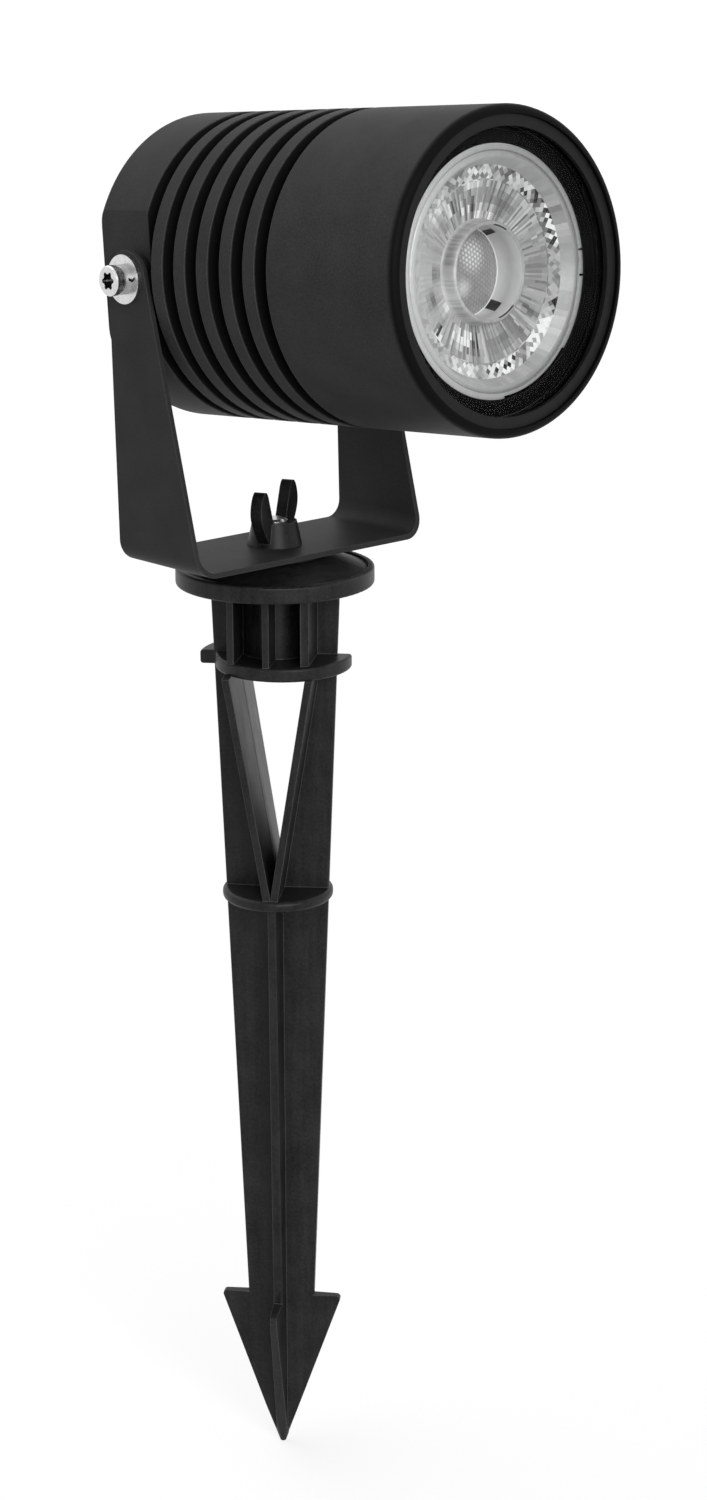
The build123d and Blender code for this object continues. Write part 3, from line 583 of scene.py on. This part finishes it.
# where the facets catch the light: turn, half width, radius, half height, level and contrast
LIGHT = (
    (-2, 28, 14.0, 6.0, 0.27, 0.04),
    (66, 30, 12.8, 3.4, 0.19, 0.05),
    (-70, 24, 13.0, 3.0, 0.20, 0.06),
    (-38, 18, 13.2, 3.4, 0.30, 0.22),
    (18, 12, 18.2, 2.0, 0.55, 0.95),
    (31, 11, 18.9, 2.0, 0.30, 0.95),
    (48, 11, 18.0, 3.0, 0.16, 0.60),
    (24, 14, 14.5, 3.0, 0.32, 0.20),
    (84, 26, 10.2, 2.0, 0.66, 0.45),
    (70, 20, 18.2, 2.2, 0.42, 0.30),
    (95, 20, 16.6, 2.8, 0.75, 0.45),
    (121, 9, 13.4, 2.6, 0.28, 0.80),
    (136, 16, 15.8, 3.2, 0.85, 0.30),
    (105, 16, 11.8, 2.2, 0.55, 0.60),
    (180, 72, 14.0, 15.0, 0.56, 0.03),
    (177, 13, 10.8, 1.7, 0.16, 0.02),
    (-163, 13, 12.9, 2.2, 0.20, 0.02),
    (-147, 11, 10.2, 2.0, 0.85, 0.10),
    (-140, 9, 15.2, 2.6, 0.22, 0.80),
    (-122, 15, 12.4, 3.0, 0.72, 0.60),
    (-106, 16, 12.6, 2.4, 0.50, 0.60),
    (-112, 20, 17.6, 2.4, 0.80, 0.20),
    (-78, 20, 17.4, 2.2, 0.62, 0.80),
    (-44, 19, 17.9, 3.0, 1.00, 0.60),
    (-22, 9, 18.5, 1.5, 0.06, 0.35),
)
PLAIN_LEVEL, PLAIN_CONTRAST = 0.38, 0.16        # where none of these reaches
rng = random.Random(11)


def facet_tone(turn, r, lean):
    """Painted brightness of a facet, for the light and shade it shows; lean, from -1 to 1, takes
    it off the level round it.
    """
    level, contrast = PLAIN_LEVEL, PLAIN_CONTRAST
    for centre, half, middle, high, bright, lively in LIGHT:
        weight = lobe(apart(turn, centre), half) * lobe(r - middle, high)
        level += weight * (bright - level)
        contrast += weight * (lively - contrast)
    return min(1.0, max(0.01, 1.05 * level + 1.4 * contrast * lean))


def roll(power=0.7):
    """Random lean; a power above 1 keeps most of them small."""
    value = 2 * rng.random() - 1
    return math.copysign(abs(value) ** power, value)


def bowl_depth(r):
    """Depth of the bowl's cone at radius r."""
    return BOWL_DEPTH + (BOWL_R - r) * BOWL_SLOPE


def between(turn, spans):
    """Whether a turn lies in one of the spans."""
    return any(low < turn < high for low, high in spans)


def flange_outline():
    """Turns and radii of the flange's edge, with its tab notches and its inset part."""
    marks = {turn: EDGE_R for turn in EVEN}
    for turn in (INSET_FROM, INSET_TO):
        marks[turn - INSET_LEAN] = EDGE_R
        marks[turn + INSET_LEAN] = EDGE_R
    for side in (-1, 1):
        centre = side * NOTCH_TURN % 360
        for turn in [t for t in marks if abs(apart(t, centre)) <= NOTCH_HALF + 0.2]:
            del marks[turn]
        for offset, r in ((-NOTCH_HALF, EDGE_R),
                          (NOTCH_LEAN - NOTCH_HALF, EDGE_R - NOTCH_DEPTH),
                          (NOTCH_HALF - NOTCH_LEAN, EDGE_R - NOTCH_DEPTH),
                          (NOTCH_HALF, EDGE_R)):
            marks[(centre + offset) % 360] = r
    turns = sorted(marks)
    radii = [marks[turn] - (EDGE_INSET if INSET_FROM < turn < INSET_TO else 0) for turn in turns]
    return turns, radii


def build_flange(shell):
    """The flange with its fine groove, and the smooth band inside it; its tones are painted light,
    lighter towards one side and with painted shade in the groove.

    Gives the flange's back edge and the ring that the diamonds start from."""
    turns, edge = flange_outline()
    back = shell.ring(FLANGE_THICKNESS, edge, turns)
    rim = shell.ring(EDGE_ROUND, edge, turns)
    front = shell.ring(0, [r - EDGE_ROUND for r in edge], turns)
    groove = [shell.ring(depth, r, turns) for depth, r in GROOVE]
    lip = shell.ring(0, LIP_R, turns)
    # painted light: the flange lighter towards turn 175, with painted shade in its fine groove
    painted_lit_side = [0.37 + 0.36 * lobe(apart(turn, 175), 125) for turn in turns]
    painted_flange_groove_shade = [0.55 * tone for tone in painted_lit_side]
    shell.band(back, rim, 0.4)
    # the rounded edge painted lighter, as a highlight
    shell.band(rim, front, 0.75)
    shell.band(front, groove[0], (painted_lit_side, painted_lit_side))
    shell.band(groove[0], groove[1], (painted_flange_groove_shade, painted_flange_groove_shade))
    shell.band(groove[1], groove[2], (painted_flange_groove_shade, painted_flange_groove_shade))
    shell.band(groove[2], groove[3], (painted_lit_side, painted_lit_side))
    shell.band(groove[3], lip, (painted_lit_side, painted_lit_side))
    first = shell.ring(BOWL_DEPTH, BOWL_R, EVEN)
    shell.fan(lip, first,
              lambda turn: 0.23 + 0.45 * facet_tone(turn, BOWL_R, 0.25 * roll()))
    return back, first


def build_diamonds(shell, first):
    """Rows of diamonds below the smooth band; gives the closed ring that they end on."""
    rings = [first]
    for k in range(1, DIAMOND_ROWS + 1):
        r = BOWL_R - DIAMOND * k
        rings.append(shell.ring(bowl_depth(r), r, ODD if k % 2 else EVEN))
    for i in range(FLUTES):
        j = (i + 1) % FLUTES
        corners = (rings[0][i], rings[0][j], rings[1][i])
        shell.face(corners, facet_tone(ODD[i], BOWL_R - 0.2, roll()), FACETS)
    for k in range(1, DIAMOND_ROWS):
        above, middle, below = rings[k - 1], rings[k], rings[k + 1]
        turns = EVEN if k % 2 else ODD
        for i in range(FLUTES):
            after = i if k % 2 else (i + 1) % FLUTES
            before = (after - 1) % FLUTES
            tone = facet_tone(turns[i], BOWL_R - DIAMOND * k, roll())
            shell.face((above[i], middle[after], below[i], middle[before]), tone, FACETS)
    for i in range(FLUTES):
        j = (i + 1) % FLUTES
        corners = (rings[-2][i], rings[-1][j], rings[-1][i])
        r = BOWL_R - (DIAMOND_ROWS - 0.3) * DIAMOND
        shell.face(corners, facet_tone(ODD[i], r, roll()), FACETS)
    return rings[-1]


def build_flutes(shell, top):
    """Long flutes of two flanks each, down to the well; gives the last ring and its turns."""
    turns = [i * PITCH + share * PITCH for i in range(FLUTES) for share in FLUTE_SHARES]
    columns = len(turns)
    rings = []
    for r in FLUTE_ROWS:
        rise = 0.0 if r == ROOT_R else FLUTE_RISE
        depths = [bowl_depth(r) + (rise if c % 2 else -rise) for c in range(columns)]
        rings.append(shell.ring(depths, r, turns))
    for i in range(FLUTES):
        j = (i + 1) % FLUTES
        inner = [rings[0][(2 * i + n) % columns] for n in (2, 1, 0)]
        shell.face([top[i], top[j]] + inner, facet_tone(ODD[i], FLUTE_TOP_R, roll()), FACETS)
    lean = [roll(1.2) for _ in range(columns)]
    for k in range(len(FLUTE_ROWS) - 1):
        middle = (FLUTE_ROWS[k] + FLUTE_ROWS[k + 1]) / 2
        for c in range(columns):
            d = (c + 1) % columns
            if rng.random() < 0.35:
                lean[c] = roll(1.2)
            tone = facet_tone(turns[c] + 0.25 * PITCH, middle, lean[c])
            corners = (rings[k][c], rings[k][d], rings[k + 1][d], rings[k + 1][c])
            shell.face(corners, tone, FACETS)
    return rings[-1], turns


def build_well(shell, root, turns):
    """The well's outer wall, mouth and inner wall, with painted light and shade and two dark
    patches of painted shade on the inner wall; gives the floor's ring.
    """
    # painted light on the outer wall: darker round turn 150, lighter round turn 200
    def smear_and_painted_wall_light(turn, depth):
        tone = 0.50 - 0.22 * lobe(apart(turn, 150), 40) * lobe(depth - 3.2, 1.6)
        return tone + 0.2 * lobe(apart(turn, 200), 30)

    def wall(outer, inner, spans, dark, plain, smooth_dark):
        """Joins two rings; its faces have the tone dark, painted shade, in the spans, and plain
        elsewhere.
        """
        for i, turn in enumerate(turns):
            j = (i + 1) % len(turns)
            hit = between(turn, spans)
            shell.face((outer[i], outer[j], inner[j], inner[i]), dark if hit else plain,
                       SKIN, smooth_dark or not hit)

    streaks = [0.11 * roll() for _ in turns]
    above, tones = root, [smear_and_painted_wall_light(turn, bowl_depth(ROOT_R)) for turn in turns]
    for depth, r in WALL_ROWS:
        ring = shell.ring(depth, r, turns)
        here = [smear_and_painted_wall_light(turn, depth) + streak for turn, streak in zip(turns, streaks)]
        shell.band(above, ring, (tones, here))
        above, tones = ring, here
    # painted highlight on the mouth's rim, lightest round turn 185
    bright = [0.42 + 0.25 * lobe(apart(turn, 185), 75) + 0.5 * streak
              for turn, streak in zip(turns, streaks)]
    lip = shell.ring(MOUTH_DEPTH, MOUTH_OUTER_R - 0.15, turns)
    shell.band(above, lip, (bright, bright))
    edge = shell.ring(MOUTH_DEPTH, MOUTH_R + 0.25, turns)
    shell.band(lip, edge, (bright, bright))
    mouth = shell.ring(MOUTH_DEPTH + 0.15, MOUTH_R, turns)
    # painted shadows on the mouth's bevel
    wall(edge, mouth, MOUTH_SHADOWS, 0.02, 0.46, True)
    slanted = [turn + sum(shift * lobe(apart(turn, middle), 40) for middle, shift in SLANTS)
               for turn in turns]
    upper = shell.ring(WALL_SHADE_TOP, MOUTH_R - 0.08, turns)
    lower = shell.ring(FLOOR_DEPTH - 0.12, FLOOR_R + 0.03, slanted)
    floor_edge = shell.ring(FLOOR_DEPTH, FLOOR_R - 0.14, EVEN)
    shell.band(mouth, upper, 0.66)
    # painted shade on the inner wall in the spans
    wall(upper, lower, WALL_SHADES, 0.012, 0.66, False)
    # the floor's edge painted bright, as a highlight
    shell.fan(lower, floor_edge, 0.85)
    return floor_edge


def build_floor(shell, ring):
    """The well's domed floor, covered with small pebbles in a hexagonal pattern; its tones are
    painted light, with painted highlights on the pebbles' tops.
    """
    gap = PEBBLE_PITCH / math.sqrt(3)
    points = []
    for vert in ring:
        place = HEAD_BACK @ vert.co
        points.append(Vector((place.x, place.z)) / MM)
    limit = points[0].length
    count = len(points)
    centres = set()
    most = int(limit / gap) + 2
    for row in range(-most, most + 1):
        for column in range(-2 * most, 2 * most + 1):
            point = Vector((gap * (column + 0.5 * row), gap * math.sqrt(3) / 2 * row))
            if point.length < limit - PEBBLE_MARGIN:
                if (column - row) % 3 == 0:
                    centres.add(len(points))
                points.append(point)
    only_inside, tolerance = 1, 1e-7
    made = delaunay_2d_cdt(points, [], [list(range(count))], only_inside, tolerance)
    flat, faces, origins = made[0], made[2], made[3]
    dome_r = (limit ** 2 + DOME ** 2) / (2 * DOME)
    verts = []
    tones = []
    for point, sources in zip(flat, origins):
        top = any(source in centres for source in sources)
        edge = [source for source in sources if source < count]
        rise = math.sqrt(dome_r ** 2 - point.length_squared) - (dome_r - DOME)
        # painted highlights and a soft painted light on the floor and the pebbles' tops
        shine = lobe((point - SHINE_AT).length, SHINE_R)
        soft_light = lobe((point - SOFT_LIGHT_AT).length, SOFT_LIGHT_R)
        base = 0.27 + 0.35 * soft_light + 0.10 * shine
        tones.append(min(1.0, base + (0.10 + 0.9 * shine) * (1 if top else 0)))
        if edge:
            verts.append(ring[edge[0]])
        else:
            depth = FLOOR_DEPTH - rise - (PEBBLE_RISE if top else 0)
            verts.append(shell.mesh.verts.new(
                head_point(LENS_FRONT - depth, point.length, math.atan2(point.y, point.x))))
    for corners in faces:
        shell.face([verts[k] for k in corners], [tones[k] for k in corners], PEBBLES)


def build_back(shell, flange_back):
    """The cone behind the flange, down to its neck."""
    cone = [shell.ring(depth, r, EVEN) for depth, r in CONE]
    shell.fan(flange_back, cone[0], 0.5)
    shell.band(cone[0], cone[1], 0.5)
    shell.band(cone[1], cone[2], 0.5)
    shell.face(cone[2], 0.5, SKIN)


lens_shell = Shell()
flange_back, facet_start = build_flange(lens_shell)
well_root, well_turns = build_flutes(lens_shell, build_diamonds(lens_shell, facet_start))
build_floor(lens_shell, build_well(lens_shell, well_root, well_turns))
build_back(lens_shell, flange_back)
lens_skin = lens_material("lens_skin", grey(0.01), grey(0.98), 0.3, 0.2)
lens_facets = lens_material("lens_facets", grey(0.006), grey(1.0), 0.25, 0.15)
lens_pebbles = lens_material("lens_pebbles", grey(0.01), grey(1.0), 0.2, 0.3)
lens = lens_shell.finish("lens_optic", (lens_skin, lens_facets, lens_pebbles))
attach(lens, "head")
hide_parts("optic_lens")


# ---- floor, light and camera ----------------------------------------------
FLOOR_GLOW = 0.67
WORLD_LIGHT, WORLD_SEEN = 0.35, 1.0     # the backdrop's strength as a light, and where it is seen


def pale(material, glow):
    """The strength glow where a surface is seen, also mirrored or through glass; 0 as a light."""
    path = add(material, "ShaderNodeLightPath")
    first = add(material, "ShaderNodeMath", operation="MAXIMUM")
    second = add(material, "ShaderNodeMath", operation="MAXIMUM")
    join(material, path.outputs["Is Camera Ray"], first.inputs[0])
    join(material, path.outputs["Is Glossy Ray"], first.inputs[1])
    join(material, first.outputs[0], second.inputs[0])
    join(material, path.outputs["Is Transmission Ray"], second.inputs[1])
    strength = add(material, "ShaderNodeMath", operation="MULTIPLY")
    strength.inputs[1].default_value = glow
    join(material, second.outputs[0], strength.inputs[0])
    return strength.outputs[0]


bpy.ops.mesh.primitive_plane_add(size=60, location=(0, 0, TIP_Z))
floor = bpy.context.object
floor.name = "floor"
floor_paint = new_material("floor_paint", grey(0.5), 0.9, Specular_IOR_Level=0.0)
shader_of(floor_paint).inputs["Emission Color"].default_value = (1, 1, 1, 1)
join(floor_paint, pale(floor_paint, FLOOR_GLOW),
     shader_of(floor_paint).inputs["Emission Strength"])
floor.data.materials.append(floor_paint)

world = bpy.data.worlds.new("studio")
bpy.context.scene.world = world
world.use_nodes = True
background = world.node_tree.nodes["Background"]
background.inputs["Color"].default_value = (1, 1, 1, 1)
level = add(world, "ShaderNodeMapRange")
level.inputs["To Min"].default_value = WORLD_LIGHT
level.inputs["To Max"].default_value = WORLD_SEEN
join(world, pale(world, 1.0), level.inputs["Value"])
join(world, level.outputs["Result"], background.inputs["Strength"])


def lamp(name, light, softness, place):
    """A wide light from place to the origin; light is what a white surface facing it shows."""
    data = bpy.data.lights.new(name, "SUN")
    data.energy = light * math.pi
    data.angle = math.radians(softness)
    made = bpy.data.objects.new(name, data)
    made.rotation_euler = (-Vector(place)).to_track_quat("-Z", "Y").to_euler()
    bpy.context.scene.collection.objects.link(made)


lamp("top_light", 0.21, 60, (-0.2, 0.6, 0.9))
lamp("front_light", 0.56, 40, (-0.42, -1.0, 0.35))

camera_data = bpy.data.cameras.new("camera")
camera_data.lens = 68.87
camera_data.sensor_width = 36
camera = bpy.data.objects.new("camera", camera_data)
camera.location = (-0.3631, -0.4148, 0.1949)
camera.rotation_euler = [math.radians(turn) for turn in (73.415, 0.096, -42.825)]
bpy.context.scene.collection.objects.link(camera)
bpy.context.scene.camera = camera
bpy.context.scene.view_settings.view_transform = "Standard"
